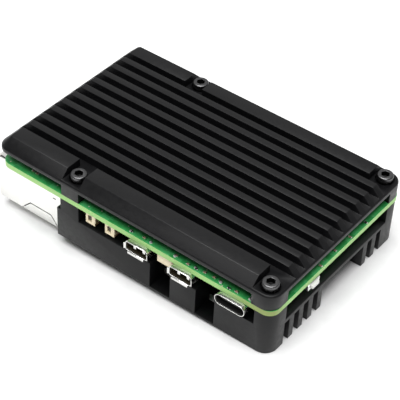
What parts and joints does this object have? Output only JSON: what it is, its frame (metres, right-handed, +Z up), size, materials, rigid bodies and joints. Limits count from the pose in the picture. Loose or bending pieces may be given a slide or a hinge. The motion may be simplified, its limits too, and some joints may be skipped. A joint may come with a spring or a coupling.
{
  "type": "single board computer",
  "caption": "Credit-card-size single board computer clamped in a black two-piece finned heat-sink case, lying with its solder side up, with network, data, power and display ports",
  "frame": {"origin": "below the middle of the whole object's box, at the level of the lower faces of the two stacked data ports, which are its lowest point while the board is level", "axes": "X runs along the board towards the memory card end, Y across it away from the power and display ports, Z up out of the finned plate on the solder side"},
  "size_m": [0.089, 0.0574, 0.0244],
  "materials": {
    "case_metal": "black anodised, fine satin",
    "screw_steel": "blackened steel, satin",
    "board_green": "green solder mask over glass fibre",
    "shield_metal": "bright tin-plated sheet",
    "contact_gold": "gold-plated contacts",
    "cream_plastic": "cream moulded plastic",
    "black_plastic": "black moulded plastic",
    "blue_plastic": "blue moulded plastic",
    "white_plastic": "white moulded plastic",
    "chip_black": "black epoxy package",
    "package_green": "green package laminate",
    "pad_grey": "soft grey thermal pad",
    "coil_grey": "grey ferrite",
    "ceramic_tan": "tan ceramic with bright ends",
    "lamp_lens": "clear lamp body"
  },
  "bodies": {
    "computer": {"battery_connector_contacts": "contact_gold", "battery_connector_housing": "cream_plastic", "camera_connector_body": "cream_plastic", "camera_connector_contacts": "contact_gold", "card_socket_base": "black_plastic", "card_socket_shell": "shield_metal", "case_screws": "screw_steel", "circuit_board": "board_green", "crystals": "shield_metal", "debug_connector_contacts": "contact_gold", "debug_connector_housing": "cream_plastic", "display_connector_body": "cream_plastic", "display_connector_contacts": "contact_gold", "ethernet_contacts": "contact_gold", "ethernet_housing": "black_plastic", "ethernet_lamps": "lamp_lens", "ethernet_shield": "shield_metal", "expansion_connector_body": "cream_plastic", "expansion_connector_contacts": "contact_gold", "fan_connector_contacts": "contact_gold", "fan_connector_housing": "cream_plastic", "flash_chip": "chip_black", "hdmi_0_shell": "shield_metal", "hdmi_0_tongue": "black_plastic", "hdmi_1_shell": "shield_metal", "hdmi_1_tongue": "black_plastic", "lower_capacitors": "ceramic_tan", "lower_finned_shell": "case_metal", "memory": "chip_black", "network_chip": "chip_black", "network_power_header_base": "black_plastic", "network_power_header_pins": "contact_gold", "pin_header_base": "black_plastic", "pin_header_pins": "contact_gold", "port_controller": "chip_black", "power_button_body": "shield_metal", "power_coils": "coil_grey", "power_manager": "chip_black", "processor_heat_spreader": "shield_metal", "processor_package": "package_green", "status_lamp": "lamp_lens", "thermal_pads": "pad_grey", "upper_capacitors": "ceramic_tan", "upper_finned_plate": "case_metal", "usb2_contacts": "contact_gold", "usb2_housing": "black_plastic", "usb2_shield": "shield_metal", "usb3_contacts": "contact_gold", "usb3_housing": "blue_plastic", "usb3_shield": "shield_metal", "usb_c_shell": "shield_metal", "usb_c_tongue": "black_plastic", "wireless_shield": "shield_metal"},
    "power_button": {"power_button_plunger": "white_plastic"},
    "camera_latch": {"camera_connector_latch": "cream_plastic"},
    "display_latch": {"display_connector_latch": "cream_plastic"},
    "expansion_latch": {"expansion_connector_latch": "cream_plastic"}
  },
  "joints": [
    {"name": "power_button_press", "type": "slide", "parent": "computer", "child": "power_button", "axis": [-1, 0, 0], "range_m": [0, 0.00025], "stiffness_N_per_m": 6000},
    {"name": "camera_latch_lift", "type": "slide", "parent": "computer", "child": "camera_latch", "axis": [0, 0, -1], "range_m": [0, 0.0007]},
    {"name": "display_latch_lift", "type": "slide", "parent": "computer", "child": "display_latch", "axis": [0, 0, -1], "range_m": [0, 0.0007]},
    {"name": "expansion_latch_lift", "type": "slide", "parent": "computer", "child": "expansion_latch", "axis": [0, 0, -1], "range_m": [0, 0.0007]}
  ]
}
